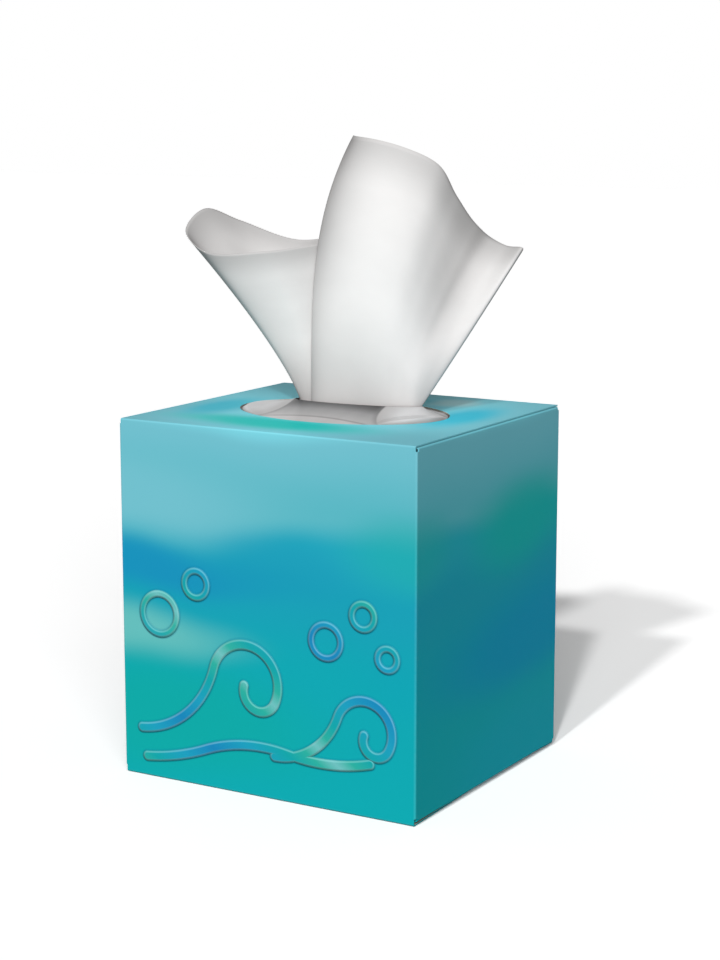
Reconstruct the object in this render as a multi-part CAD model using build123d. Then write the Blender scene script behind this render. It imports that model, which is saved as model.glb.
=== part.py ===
from build123d import *
import math
import os

# A cube box of facial tissues with one sheet popped up through the film slit.
# Millimetres: x runs along the front, y to the back, z up, origin at the base's centre.

# Carton
BOX_WIDTH = 115.0
BOX_DEPTH = 103.0
BOX_HEIGHT = 124.0
BOARD = 0.45
FOLD_INSIDE = 0.15
GLUE = 0.2
PANEL_SHORT = 0.3
SEAM_FLAP = 12.0
SEAM_OPENING = 0.1

# Oval opening in the top panel
OVAL_LENGTH = 78.0
OVAL_WIDTH = 53.0
FLAP_CLEAR_OF_OVAL = 3.5

# Bottom flaps, each by how far it stops short of the opposite wall or flap
OUTER_FLAP_SHORT = 23.0
INNER_FLAP_SHORT = 43.0
DUST_FLAP_GAP = 25.0
FLAP_TAPER = 3.0
MITRE_GAP = 0.5

# Window film, glued under the top panel and slit for the sheet
FILM_CORNER = 6.0
FILM_CLEAR_OF_OVAL = 0.6
SHOULDER_RISE = 0.5
SHOULDER_INSET = 6.0
LIP_RISE = 2.6
LIP_EDGE = 0.3
SLIT_LENGTH = 53.0
SLIT_WIDTH = 14.0
SLIT_SKEW = 6.0
SLIT_SHIFT = 4.0

# Hot-melt glue strips
GLUE_STRIP = 6.0
GLUE_SETBACK = 2.0
GLUE_CLEAR_OF_FILM = 1.5
STRIP_END_GAP = 10.0

# Stack of folded tissues, bent over into an upside-down U
STACK_CLEAR = 1.0
STACK_END_CLEAR = 4.5
HEADSPACE = 11.0
CLEFT = 7.0

# Pulled-up sheet
SHEET = 0.3
SHEET_CLEAR = 0.3
SLIT_END_CLEAR = 2.0
SLIT_SIDE_CLEAR = 2.8

# Waves and rings raised on the front. Places are across from the front's left or right edge
# and up from the base, radii are of centrelines, and turns are in degrees.
EMBOSS = 0.25
RIBBON = 3.6
RING_BAND = 2.4
MOTIF_MARGIN = 3.0
WAVE_TURNS = (70.0, -190.0, -170.0)
BIG_WAVE_START = (7.5, 17.0)
BIG_WAVE_HEADING = 5.0
BIG_WAVE_RADII = (34.0, 13.0, 6.5)
SMALL_WAVE_START = (53.5, 15.0)
SMALL_WAVE_HEADING = 0.0
SMALL_WAVE_RADII = (26.0, 10.5, 5.0)
SWELL_START = (9.5, 7.0)
SWELL_HEADING = 6.0
SWELL_RADII = (90.0, 60.0, 70.0)
SWELL_TURNS = (16.0, -32.0, 26.0)
LEFT_RINGS = [(15.5, 58.0, 7.0), (30.5, 70.0, 4.6)]
RIGHT_RINGS = [(33.5, 57.0, 5.6), (19.5, 67.0, 4.2), (10.5, 54.0, 3.6)]

# Levels of the layers of board, from the base up
OUTER_FLAP_LEVEL = 0.0
INNER_FLAP_LEVEL = BOARD + GLUE
DUST_FLAP_LEVEL = 2 * (BOARD + GLUE)
FLOOR_TOP = DUST_FLAP_LEVEL + BOARD
FOLD_RADIUS = BOARD + FOLD_INSIDE
PANEL_UNDERSIDE = BOX_HEIGHT - BOARD
TOP_FLAP_LEVEL = PANEL_UNDERSIDE - GLUE
TUBE_BOTTOM = DUST_FLAP_LEVEL + 2 * FOLD_RADIUS
TUBE_TOP = TOP_FLAP_LEVEL - 2 * FOLD_RADIUS

# Inside of the carton
SEAM_DEPTH = BOARD + GLUE
INNER_HALF_DEPTH = BOX_DEPTH / 2 - BOARD - SEAM_DEPTH
SIDE_HALF_LENGTH = BOX_DEPTH / 2 - SEAM_DEPTH - FOLD_RADIUS
SIDE_TOP_FLAP = (BOX_WIDTH - OVAL_LENGTH) / 2 - FLAP_CLEAR_OF_OVAL
BACK_TOP_FLAP = (BOX_DEPTH - OVAL_WIDTH) / 2 - FLAP_CLEAR_OF_OVAL
OUTER_BOTTOM_FLAP = BOX_DEPTH - OUTER_FLAP_SHORT
INNER_BOTTOM_FLAP = BOX_DEPTH - INNER_FLAP_SHORT
DUST_FLAP = (BOX_WIDTH - DUST_FLAP_GAP) / 2

# Film, slit, stack and sheet
FILM_UNDERSIDE = PANEL_UNDERSIDE - GLUE
GLUE_OUTER_EDGE = FOLD_RADIUS + GLUE_SETBACK
FILM_EDGE = GLUE_OUTER_EDGE + GLUE_STRIP + GLUE_CLEAR_OF_FILM
FILM_LENGTH = BOX_WIDTH - 2 * FILM_EDGE
FILM_WIDTH = BOX_DEPTH - 2 * FILM_EDGE
LIP_LEVEL = BOX_HEIGHT + LIP_RISE
STACK_HALF_DEPTH = INNER_HALF_DEPTH - STACK_CLEAR
STACK_LENGTH = BOX_WIDTH - 2 * (BOARD + STACK_END_CLEAR)
CROWN_LEVEL = TOP_FLAP_LEVEL - BOARD - HEADSPACE
SHEET_FOOT = CROWN_LEVEL + SHEET_CLEAR
NECK_HALF_LENGTH = SLIT_LENGTH / 2 - SLIT_END_CLEAR
NECK_HALF_WIDTH = SLIT_WIDTH / 2 - SLIT_SIDE_CLEAR

# The sheet, station by station round its upper edge: along the tall front lobe, round the
# pointed fold on the right, along the back, round the roll on the left and on to the end
# that is tucked behind the tall lobe. Each station holds the upper edge (x and y from the
# slit's centre, height above the film's lip), its place in the neck (along and across the
# slit, as parts of the neck's half sizes), how late the sheet flares out on its way up,
# and how far it bellies towards the front right half-way up.
SHEET_STATIONS = [
    ((-4.2, 16.1, 82.0), (-0.46, -0.40), 3.6, 0.0),
    ((-4.3, 10.3, 88.0), (-0.56, -0.44), 3.5, 0.0),
    ((-2.3, 3.8, 90.9), (-0.60, -0.60), 3.5, 0.0),
    ((2.7, -1.9, 91.0), (-0.50, -0.80), 2.6, 1.5),
    ((11.1, -2.9, 90.0), (-0.28, -0.90), 2.0, 3.0),
    ((19.5, 0.0, 87.6), (-0.02, -0.90), 1.7, 4.0),
    ((28.3, 7.4, 82.0), (0.32, -0.90), 1.5, 4.0),
    ((30.5, 16.5, 71.3), (0.58, -0.80), 1.35, 3.5),
    ((32.5, 27.9, 60.8), (0.80, -0.62), 1.2, 2.0),
    ((34.6, 33.4, 56.6), (0.91, -0.42), 1.1, 0.0),
    ((41.0, 32.6, 54.0), (0.97, -0.20), 1.0, 0.0),
    ((50.0, 27.5, 53.9), (1.00, 0.05), 1.0, 0.0),
    ((42.0, 37.0, 50.0), (0.93, 0.40), 1.0, 0.0),
    ((22.0, 37.5, 54.0), (0.50, 0.72), 1.0, -1.0),
    ((6.0, 30.0, 58.0), (0.18, 0.70), 1.0, -2.0),
    ((-10.0, 29.0, 58.0), (-0.10, 0.93), 1.0, -3.0),
    ((-31.0, 14.0, 54.5), (-0.52, 1.00), 1.1, -2.0),
    ((-46.5, 0.5, 61.5), (-0.76, 0.85), 1.25, 0.0),
    ((-52.5, -12.0, 66.0), (-0.85, 0.62), 1.35, 0.0),
    ((-51.5, -24.5, 59.5), (-0.86, 0.34), 1.35, 0.0),
    ((-41.0, -29.0, 53.0), (-0.82, 0.07), 1.35, 0.0),
    ((-25.5, -17.5, 52.5), (-0.70, -0.05), 1.6, 0.0),
    ((-14.0, 1.0, 54.5), (-0.50, -0.13), 1.5, 0.0),
    ((1.0, 10.0, 57.0), (-0.17, -0.23), 1.4, 0.0),
]
# Cross sections between neck and upper edge, as parts of the way up
SHEET_SECTIONS = [0.0, 0.3, 0.65, 1.0]
BELLY_HEADING = -60.0
# Flat facets, over the sheet's height and from each station to the next
FACET_ROWS = 7
FACETS_PER_STATION = 4


def folded_flap(half_length, start, level, depth, taper):
    """A flap folded off a wall whose outer face is the plane y = 0, reaching to +y.

    start is the level where the wall's tube ends, level the flap's outer face.
    """
    up = 1 if level > start else -1
    mid = level - up * BOARD / 2
    path = FilletPolyline(
        (BOARD / 2, start),
        (BOARD / 2, mid),
        (2 * FOLD_RADIUS, mid),
        radius=FOLD_RADIUS - BOARD / 2,
    )
    fold = extrude(Plane.YZ * trace(path, BOARD), amount=half_length, both=True)
    outline = Polyline(
        (-half_length, FOLD_RADIUS),
        (half_length, FOLD_RADIUS),
        (half_length - taper, depth),
        (-half_length + taper, depth),
        close=True,
    )
    plate = extrude(make_face(outline), amount=-up * BOARD)
    return fold + Pos(0, 0, level) * plate


def on_wall(part, wall):
    """Move a flap made at y = 0 to the front, right, back or left wall."""
    turns = {"front": 0, "right": 90, "back": 180, "left": 270}
    setback = BOX_DEPTH / 2 if wall in ("front", "back") else BOX_WIDTH / 2
    return Rot(0, 0, turns[wall]) * Pos(0, -setback, 0) * part


def carton_tube():
    """The four walls and the seam flap, folded from one strip of board."""
    x = BOX_WIDTH / 2 - BOARD / 2
    y = BOX_DEPTH / 2 - BOARD / 2
    seam_y = y - SEAM_DEPTH
    path = FilletPolyline(
        (-x + SEAM_FLAP, seam_y),
        (-x, seam_y),
        (-x, -y),
        (x, -y),
        (x, y),
        (-BOX_WIDTH / 2 + SEAM_OPENING, y),
        radius=FOLD_RADIUS - BOARD / 2,
    )
    return Pos(0, 0, TUBE_BOTTOM) * extrude(trace(path, BOARD), amount=TUBE_TOP - TUBE_BOTTOM)


def carton_flaps():
    """The top panel, the three glued top flaps and the four bottom flaps."""
    front_half = BOX_WIDTH / 2 - FOLD_RADIUS
    back_half = front_half - SEAM_OPENING
    panel_depth = BOX_DEPTH - PANEL_SHORT
    side_mitre = SIDE_TOP_FLAP + MITRE_GAP
    back_mitre = BACK_TOP_FLAP + MITRE_GAP
    flaps = [
        on_wall(folded_flap(front_half, TUBE_TOP, BOX_HEIGHT, panel_depth, 0), "front"),
        on_wall(
            folded_flap(back_half, TUBE_TOP, TOP_FLAP_LEVEL, BACK_TOP_FLAP, back_mitre),
            "back",
        ),
        on_wall(
            folded_flap(
                front_half, TUBE_BOTTOM, OUTER_FLAP_LEVEL, OUTER_BOTTOM_FLAP, FLAP_TAPER
            ),
            "front",
        ),
        on_wall(
            folded_flap(
                back_half, TUBE_BOTTOM, INNER_FLAP_LEVEL, INNER_BOTTOM_FLAP, FLAP_TAPER
            ),
            "back",
        ),
    ]
    for wall in ("left", "right"):
        top = folded_flap(
            SIDE_HALF_LENGTH, TUBE_TOP, TOP_FLAP_LEVEL, SIDE_TOP_FLAP, side_mitre
        )
        dust = folded_flap(
            SIDE_HALF_LENGTH, TUBE_BOTTOM, DUST_FLAP_LEVEL, DUST_FLAP, FLAP_TAPER
        )
        flaps += [on_wall(top, wall), on_wall(dust, wall)]
    return flaps


def arc_chain(start, heading, radii, turns):
    """Arcs that follow each other without a kink, turning left where the turn is positive."""
    angle = math.radians(heading)
    tangent = Vector(math.cos(angle), math.sin(angle))
    chain = []
    for radius, turn in zip(radii, turns):
        arc = JernArc(start, tangent, radius, turn)
        chain.append(arc)
        start, tangent = arc @ 1, arc % 1
    return chain


def ribbon(chain):
    """A band of even width along a chain of arcs, with round ends."""
    band = trace(chain, RIBBON)
    for end in (chain[0] @ 0, chain[-1] @ 1):
        band += Pos(end) * Circle(RIBBON / 2)
    return band


def ring(x, z, radius):
    """A ring whose band is centred on a circle."""
    return Pos(x, z) * (Circle(radius + RING_BAND / 2) - Circle(radius - RING_BAND / 2))


def front_motif():
    """Two curling waves over a low swell, with rings above."""
    left, right = -BOX_WIDTH / 2, BOX_WIDTH / 2
    swell = (left + SWELL_START[0], SWELL_START[1])
    big_wave = (left + BIG_WAVE_START[0], BIG_WAVE_START[1])
    small_wave = (right - SMALL_WAVE_START[0], SMALL_WAVE_START[1])
    chains = [
        arc_chain(swell, SWELL_HEADING, SWELL_RADII, SWELL_TURNS),
        arc_chain(big_wave, BIG_WAVE_HEADING, BIG_WAVE_RADII, WAVE_TURNS),
        arc_chain(small_wave, SMALL_WAVE_HEADING, SMALL_WAVE_RADII, WAVE_TURNS),
    ]
    motif = Sketch()
    for chain in chains:
        motif += ribbon(chain)
    for x, z, radius in LEFT_RINGS:
        motif += ring(left + x, z, radius)
    for x, z, radius in RIGHT_RINGS:
        motif += ring(right - x, z, radius)
    width, height = BOX_WIDTH - 2 * MOTIF_MARGIN, BOX_HEIGHT - 2 * MOTIF_MARGIN
    return motif & Pos(0, BOX_HEIGHT / 2) * Rectangle(width, height)


def carton():
    """One piece of folded board, with the oval torn out and the motif raised."""
    box = carton_tube()
    for flap in carton_flaps():
        box += flap
    oval = extrude(Ellipse(OVAL_LENGTH / 2, OVAL_WIDTH / 2), amount=BOARD)
    box -= Pos(0, 0, PANEL_UNDERSIDE) * oval
    front = Plane((0, -BOX_DEPTH / 2, 0), x_dir=(1, 0, 0), z_dir=(0, -1, 0))
    return box + extrude(front * front_motif(), amount=EMBOSS)


def slit_plane(level):
    """The plane of the slit at one level, with x along the slit."""
    return Plane((SLIT_SHIFT, 0, level)) * Rot(0, 0, SLIT_SKEW)


def film_dome(drop):
    """The raised middle of the film, as a solid hill lowered by drop."""
    base_level = PANEL_UNDERSIDE - drop
    half_length = OVAL_LENGTH / 2 - FILM_CLEAR_OF_OVAL
    half_width = OVAL_WIDTH / 2 - FILM_CLEAR_OF_OVAL
    base = Pos(0, 0, base_level) * Ellipse(half_length, half_width)
    shoulder = Pos(0, 0, base_level + SHOULDER_RISE) * Ellipse(
        half_length - SHOULDER_INSET, half_width - SHOULDER_INSET
    )
    lips = slit_plane(LIP_LEVEL - drop) * Ellipse(
        SLIT_LENGTH / 2 + LIP_EDGE, SLIT_WIDTH / 2 + LIP_EDGE
    )
    return loft([base, shoulder]) + loft([shoulder, lips])


def window_film():
    """A sheet of film with a flat glued margin and two lips raised round the slit."""
    margin = extrude(
        Pos(0, 0, FILM_UNDERSIDE) * RectangleRounded(FILM_LENGTH, FILM_WIDTH, FILM_CORNER),
        amount=GLUE,
    )
    slit = extrude(
        slit_plane(FILM_UNDERSIDE) * Ellipse(SLIT_LENGTH / 2, SLIT_WIDTH / 2),
        amount=2 * LIP_RISE + GLUE,
    )
    return margin + film_dome(0) - film_dome(GLUE) - slit


def tissue_stack():
    """Folded tissues bent over into an upside-down U that stands on the dust flaps."""
    bend_level = CROWN_LEVEL - STACK_HALF_DEPTH
    thickness = STACK_HALF_DEPTH - CLEFT / 2
    radius = CLEFT / 2 + thickness / 2
    middle = [
        Line((radius, FLOOR_TOP), (radius, bend_level)),
        CenterArc((0, bend_level), radius, 0, 180),
        Line((-radius, bend_level), (-radius, FLOOR_TOP)),
    ]
    return extrude(Plane.YZ * trace(middle, thickness), amount=STACK_LENGTH / 2, both=True)


def sheet_point(station, share):
    """One point of the sheet, at a share of the way from the neck to the upper edge."""
    (x, y, height), (along, across), late, belly = station
    skew = math.radians(SLIT_SKEW)
    u = along * NECK_HALF_LENGTH
    v = across * NECK_HALF_WIDTH
    neck_x = u * math.cos(skew) - v * math.sin(skew)
    neck_y = u * math.sin(skew) + v * math.cos(skew)
    flare = share**late
    bow = 4 * belly * share * (1 - share)
    heading = math.radians(BELLY_HEADING)
    return Vector(
        SLIT_SHIFT + neck_x + (x - neck_x) * flare + bow * math.cos(heading),
        neck_y + (y - neck_y) * flare + bow * math.sin(heading),
        LIP_LEVEL + height * share,
    )


def sheet_middle():
    """The sheet as a smooth lofted surface without thickness, and its stations' parameters."""
    rows = [[sheet_point(s, share) for s in SHEET_STATIONS] for share in SHEET_SECTIONS]
    rows.insert(0, [Vector(p.X, p.Y, SHEET_FOOT) for p in rows[0]])
    steps = [(b - a).length for a, b in zip(rows[-1], rows[-1][1:])]
    ticks = [sum(steps[:i]) / sum(steps) for i in range(len(steps) + 1)]
    wires = [Wire([Edge.make_spline(row, parameters=ticks)]) for row in rows]
    return Shell.make_loft(wires).faces()[0], ticks


def facets(near, far):
    """Two flat triangles for each cell between two rows of points."""
    faces = []
    for a, b, c, d in zip(near, near[1:], far[1:], far):
        faces.append(Face(Wire.make_polygon([a, b, c])))
        faces.append(Face(Wire.make_polygon([a, c, d])))
    return faces


def pulled_sheet():
    """The popped-up sheet, from its foot up through the slit to its free upper edge."""
    middle, ticks = sheet_middle()
    along = [
        tick + (following - tick) * i / FACETS_PER_STATION
        for tick, following in zip(ticks, ticks[1:])
        for i in range(FACETS_PER_STATION)
    ]
    along.append(1.0)
    faces = []
    skins = []
    for shift in (SHEET / 2, -SHEET / 2):
        rows = [
            [
                middle.position_at(u, row / FACET_ROWS)
                + middle.normal_at(u, row / FACET_ROWS) * shift
                for u in along
            ]
            for row in range(FACET_ROWS + 1)
        ]
        for near, far in zip(rows, rows[1:]):
            faces += facets(near, far)
        skins.append(rows)
    outer, inner = skins
    for end in (0, -1):
        faces += facets(outer[end], inner[end])
        faces += facets([row[end] for row in outer], [row[end] for row in inner])
    return Solid(Shell(faces))


def strip(x0, x1, y0, y1, z0, z1):
    """A flat strip of glue between two corners."""
    return Pos(x0, y0, z0) * Box(x1 - x0, y1 - y0, z1 - z0, align=(Align.MIN,) * 3)


def seam_glue():
    """The glue between the seam flap and the back wall."""
    x0 = -BOX_WIDTH / 2 + FOLD_RADIUS + GLUE_SETBACK
    y1 = BOX_DEPTH / 2 - BOARD
    z0 = TUBE_BOTTOM + STRIP_END_GAP
    return strip(x0, x0 + GLUE_STRIP, y1 - GLUE, y1, z0, TUBE_TOP - STRIP_END_GAP)


def top_glue():
    """Three strips between the top panel and the flaps under it, clear of the film."""
    z0, z1 = TOP_FLAP_LEVEL, PANEL_UNDERSIDE
    x1 = BOX_WIDTH / 2 - GLUE_OUTER_EDGE
    y1 = BOX_DEPTH / 2 - GLUE_OUTER_EDGE
    x0, y0 = x1 - GLUE_STRIP, y1 - GLUE_STRIP
    side_half = SIDE_HALF_LENGTH - SIDE_TOP_FLAP - MITRE_GAP
    back_half = BOX_WIDTH / 2 - FOLD_RADIUS - BACK_TOP_FLAP - MITRE_GAP
    return [
        strip(x0, x1, -side_half, side_half, z0, z1),
        strip(-x1, -x0, -side_half, side_half, z0, z1),
        strip(-back_half, back_half, y0, y1, z0, z1),
    ]


def bottom_glue():
    """Two strips between the outer and inner bottom flaps, two under the dust flaps."""
    half_depth = BOX_DEPTH / 2
    inner_end = half_depth - INNER_BOTTOM_FLAP
    outer_end = OUTER_BOTTOM_FLAP - half_depth
    half_length = BOX_WIDTH / 2 - FLAP_TAPER - STRIP_END_GAP
    first, last = inner_end + GLUE_SETBACK, outer_end - GLUE_SETBACK
    low = (BOARD, BOARD + GLUE)
    high = (INNER_FLAP_LEVEL + BOARD, DUST_FLAP_LEVEL)
    strips = [
        strip(-half_length, half_length, first, first + GLUE_STRIP, *low),
        strip(-half_length, half_length, last - GLUE_STRIP, last, *low),
    ]
    x0 = BOX_WIDTH / 2 - DUST_FLAP + GLUE_SETBACK
    y1 = SIDE_HALF_LENGTH - FLAP_TAPER - GLUE_SETBACK
    for x in (x0, -x0 - GLUE_STRIP):
        strips.append(strip(x, x + GLUE_STRIP, first, y1, *high))
    return strips


NODES = {
    "carton": carton,
    "window_film": window_film,
    "tissue_stack": tissue_stack,
    "pulled_sheet": pulled_sheet,
    "seam_glue": seam_glue,
    "top_glue": top_glue,
    "bottom_glue": bottom_glue,
}

os.makedirs("parts", exist_ok=True)
for name, make in NODES.items():
    solids = make()
    group = solids if isinstance(solids, list) else solids.solids()
    shape = group[0] if len(group) == 1 else Compound(children=list(group))
    export_step(shape, f"parts/{name}.step")
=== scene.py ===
# %% [markdown]
# # A cube box of facial tissues
#
# The real thing is a folded carton of thin printed board. A film glued under its oval opening
# holds back a stack of folded tissues, and one sheet stands up through the slit in that film.
# This lesson dresses the CAD model of the box. The rigid carton keeps its CAD shape and gets a
# printed finish. The soft pieces (film, sheet and stack) are modelled again in finer meshes,
# because paper and film bend in ways that a CAD solid only hints at.
#
# The first step opens the CAD model as a fixed frame. Everything is in metres, so the sizes
# below are written in millimetres and multiplied by `MM`.

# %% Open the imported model
import math

import bmesh
import bpy
import numpy as np
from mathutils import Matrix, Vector


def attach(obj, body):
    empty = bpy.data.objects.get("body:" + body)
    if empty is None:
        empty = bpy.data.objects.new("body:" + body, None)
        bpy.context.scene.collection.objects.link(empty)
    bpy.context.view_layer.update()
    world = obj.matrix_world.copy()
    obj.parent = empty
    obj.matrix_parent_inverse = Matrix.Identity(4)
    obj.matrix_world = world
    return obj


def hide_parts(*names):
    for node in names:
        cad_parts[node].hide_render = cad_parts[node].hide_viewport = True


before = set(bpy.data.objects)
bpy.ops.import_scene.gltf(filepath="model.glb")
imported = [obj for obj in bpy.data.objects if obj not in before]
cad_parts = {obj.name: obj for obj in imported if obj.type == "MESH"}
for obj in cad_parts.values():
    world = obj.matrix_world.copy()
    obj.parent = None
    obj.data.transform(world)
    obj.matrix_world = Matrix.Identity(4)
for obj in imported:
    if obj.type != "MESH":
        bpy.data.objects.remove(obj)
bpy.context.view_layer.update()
MM = 0.001
print("CAD nodes:", sorted(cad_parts))

# %% [markdown]
# ## The camera
#
# The photograph looks down at the box by about ten degrees, from the front right. A camera can
# be turned by hand until the edges line up, or placed by numbers. Here its place and its two
# angles were worked out from the corners of the carton, so numbers are exact. The long lens
# belongs to a picture in which parallel edges hardly draw together.

# %% Place the camera
CAMERA_PLACE = Vector((0.37888, -0.63190, 0.23474))
CAMERA_AZIMUTH = math.radians(30.51)
CAMERA_ELEVATION = math.radians(10.37)
CAMERA_LENS = 81.11

forward = Vector((
    -math.sin(CAMERA_AZIMUTH) * math.cos(CAMERA_ELEVATION),
    math.cos(CAMERA_AZIMUTH) * math.cos(CAMERA_ELEVATION),
    -math.sin(CAMERA_ELEVATION),
))
camera = bpy.data.objects.new("camera", bpy.data.cameras.new("camera"))
camera.data.lens = CAMERA_LENS
camera.location = CAMERA_PLACE
camera.rotation_euler = forward.to_track_quat("-Z", "Y").to_euler()
bpy.context.scene.collection.objects.link(camera)
bpy.context.scene.camera = camera
print("camera looks along", [round(v, 3) for v in forward])

# %% [markdown]
# ## Light
#
# The shadow on the floor has two tones, so two lamps cast it: one from straight in front and
# one from the front right, both about 37 degrees up. A third, wide and low, stands beside the
# camera like a soft panel and brings out the folds of the paper. Area lamps would do, but a
# Sun lamp with a wide angle gives the same soft edge at any distance and needs no aiming. A
# Sun of strength pi lights a surface that faces it to just its own colour, so the strengths
# are shares of pi.

# %% Three soft suns
LAMPS = {
    # heading, elevation and softness in degrees, and share of full light
    "front_lamp": (-5.4, 36.6, 3.0, 0.30),
    "right_lamp": (-19.0, 36.6, 3.0, 0.29),
    "soft_panel": (-33.0, 25.0, 36.0, 0.45),
}

for name, (heading, elevation, softness, share) in LAMPS.items():
    lamp = bpy.data.lights.new(name, "SUN")
    lamp.energy = share * math.pi
    lamp.angle = math.radians(softness)
    turn, tilt = math.radians(heading), math.radians(elevation)
    travel = Vector((
        math.sin(turn) * math.cos(tilt),
        math.cos(turn) * math.cos(tilt),
        -math.sin(tilt),
    ))
    holder = bpy.data.objects.new(name, lamp)
    holder.rotation_euler = travel.to_track_quat("-Z", "Y").to_euler()
    bpy.context.scene.collection.objects.link(holder)
bpy.context.scene.view_settings.view_transform = "Standard"
print("lamps:", list(LAMPS))

# %% [markdown]
# ## One helper for nodes, one for colours
#
# Materials are trees of nodes. Each call of `add` makes one node, sets its properties, and
# fills its inputs with numbers or with the outputs of other nodes. It gives back the first
# output that is in use, and `.node` leads from there to the others. Colours are written as the
# hex values that a paint program shows, and `linear` turns them to the values of light that
# Blender computes with.

# %% Helpers for materials
def add(tree, kind, inputs=None, **settings):
    """Add one shader node and return its first active output."""
    node = tree.nodes.new("ShaderNode" + kind)
    for name, value in settings.items():
        setattr(node, name, value)
    for key, value in (inputs or {}).items():
        if isinstance(value, bpy.types.NodeSocket):
            tree.links.new(value, node.inputs[key])
        else:
            node.inputs[key].default_value = value
    return next((socket for socket in node.outputs if socket.enabled), None)


def linear(hex_colour):
    """An sRGB hex colour as linear red, green, blue and alpha."""
    shares = [int(hex_colour[i:i + 2], 16) / 255 for i in (1, 3, 5)]
    light = [c / 12.92 if c <= 0.04045 else ((c + 0.055) / 1.055) ** 2.4 for c in shares]
    return (*light, 1.0)


def new_material(name):
    """An empty material, with its tree and its output node."""
    material = bpy.data.materials.new(name)
    material.use_nodes = True
    material.node_tree.nodes.clear()
    output = material.node_tree.nodes.new("ShaderNodeOutputMaterial")
    return material, material.node_tree, output


print("mid grey in linear light:", round(linear("#808080")[0], 3))

# %% [markdown]
# ## World and floor
#
# The background is plain white. The camera is shown a white world and a floor that is bright
# enough to come out white, while everything else is lit by a dim even fill, so the background
# adds no light to the object. Mirror-like and see-through rays see the white too, as they
# would in a studio. The floor is a diffuse plane, so it keeps the shadow of the box.

# %% World and floor
FILL = 0.11
FLOOR_SIZE = 8.0
FLOOR_DROP = 0.2 * MM
FLOOR_SEEN = 1.57
FLOOR_LIT = 0.25

world = bpy.data.worlds.new("studio")
world.use_nodes = True
world.node_tree.nodes.clear()
rays = add(world.node_tree, "LightPath").node.outputs
seen = add(world.node_tree, "Math", {0: rays["Is Camera Ray"], 1: rays["Is Glossy Ray"]},
           operation="MAXIMUM")
seen = add(world.node_tree, "Math", {0: seen, 1: rays["Is Transmission Ray"]},
           operation="MAXIMUM")
strength = add(world.node_tree, "MapRange", {0: seen, 3: FILL, 4: 1.0})
background = add(world.node_tree, "Background", {0: (1, 1, 1, 1), 1: strength})
output = world.node_tree.nodes.new("ShaderNodeOutputWorld")
world.node_tree.links.new(background, output.inputs["Surface"])
bpy.context.scene.world = world

matte_floor, tree, output = new_material("matte_white_studio_floor")
rays = add(tree, "LightPath").node.outputs
seen = add(tree, "Math", {0: rays["Is Camera Ray"], 1: rays["Is Glossy Ray"]},
           operation="MAXIMUM")
level = add(tree, "MapRange", {0: seen, 3: FLOOR_LIT, 4: FLOOR_SEEN})
white = add(tree, "CombineColor", {0: level, 1: level, 2: level})
tree.links.new(add(tree, "BsdfDiffuse", {0: white}), output.inputs["Surface"])

sketch = bmesh.new()
bmesh.ops.create_grid(sketch, x_segments=1, y_segments=1, size=FLOOR_SIZE / 2)
bmesh.ops.translate(sketch, verts=sketch.verts, vec=(0, 0, -FLOOR_DROP))
floor = bpy.data.objects.new("floor", bpy.data.meshes.new("floor"))
sketch.to_mesh(floor.data)
sketch.free()
floor.data.materials.append(matte_floor)
bpy.context.scene.collection.objects.link(floor)
print("floor at z =", -FLOOR_DROP, "m")

# %% [markdown]
# ## The printed carton: where the print is
#
# The carton is bleached board, printed on its outside only, then varnished to a low satin
# gloss. One material serves the whole folded piece, so it has to know which side it is on. On
# the outside the surface faces away from the middle of the box, on the inside towards it, and
# a cut edge faces along the panel. The dot product of the normal with the place, measured in
# half sizes of the box, tells them apart.

# %% Board: place in millimetres, and the side that is printed
BOX_HALF = (57.5, 51.5, 62.0)
OUTWARD_SPAN = (0.7, 0.8)
PROUD_BY = 0.01

board, tree, board_output = new_material("printed_satin_board")
place = add(tree, "TexCoord").node.outputs["Object"]
place = add(tree, "VectorMath", {0: place, "Scale": 1 / MM}, operation="SCALE")
axes = add(tree, "SeparateXYZ", {0: place}).node.outputs
from_middle = add(tree, "VectorMath", {0: place, 1: (0, 0, BOX_HALF[2])}, operation="SUBTRACT")
in_halves = add(tree, "VectorMath", {0: from_middle, 1: BOX_HALF}, operation="DIVIDE")
facing = add(tree, "NewGeometry").node.outputs["Normal"]
outwards = add(tree, "VectorMath", {0: facing, 1: in_halves}, operation="DOT_PRODUCT")
outside = add(tree, "MapRange", {0: outwards, 1: OUTWARD_SPAN[0], 2: OUTWARD_SPAN[1]})
proud = add(tree, "Math", {0: axes["Y"], 1: -BOX_HALF[1] - PROUD_BY}, operation="LESS_THAN")
printed = add(tree, "Math", {0: outside, 1: proud}, operation="MAXIMUM")
print("board material started:", board.name)
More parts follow.
